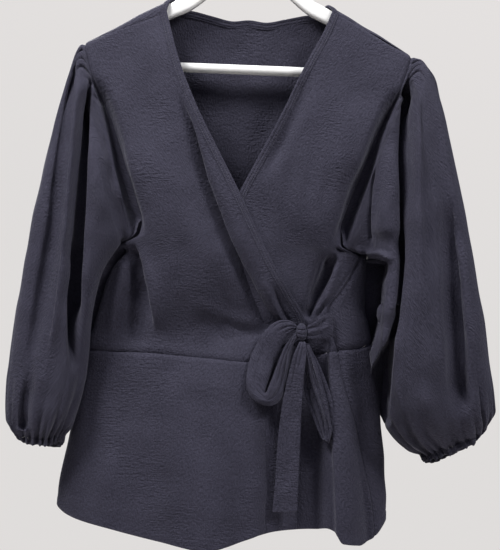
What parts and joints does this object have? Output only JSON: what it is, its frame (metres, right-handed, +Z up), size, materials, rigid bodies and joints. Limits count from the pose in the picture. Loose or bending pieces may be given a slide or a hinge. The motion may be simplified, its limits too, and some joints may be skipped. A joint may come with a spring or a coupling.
{
  "type": "wrap top on a clothes hanger",
  "caption": "Wrap-front top with a flared peplum, long balloon sleeves and a side bow, hanging on a plain hanger with a trouser bar.",
  "frame": {"origin": "inside of the hook's top, where it rests on a rail", "axes": "+Z up, -Y towards whoever faces the garment's front, +X to their right"},
  "size_m": [0.6087, 0.1215, 0.783],
  "materials": {
    "crepe": "matt crinkled crepe, charcoal navy",
    "white_lacquer": "satin white lacquer over wood",
    "steel": "bright wire"
  },
  "bodies": {
    "root": {"front_over_bodice": "crepe", "front_under_bodice": "crepe", "back_bodice": "crepe", "front_over_peplum": "crepe", "front_under_peplum": "crepe", "back_peplum": "crepe", "sleeve_left": "crepe", "sleeve_right": "crepe", "cuff_left": "crepe", "cuff_right": "crepe", "neck_band_over": "crepe", "neck_band_under": "crepe", "neck_band_back": "crepe", "tie_strap": "crepe", "bow_loop_left": "crepe", "bow_loop_right": "crepe", "tie_tail_front": "crepe", "tie_tail_back": "crepe", "bow_knot": "crepe", "hanger_arms": "white_lacquer", "hanger_bar": "white_lacquer", "hanger_hook": "steel"}
  },
  "joints": []
}
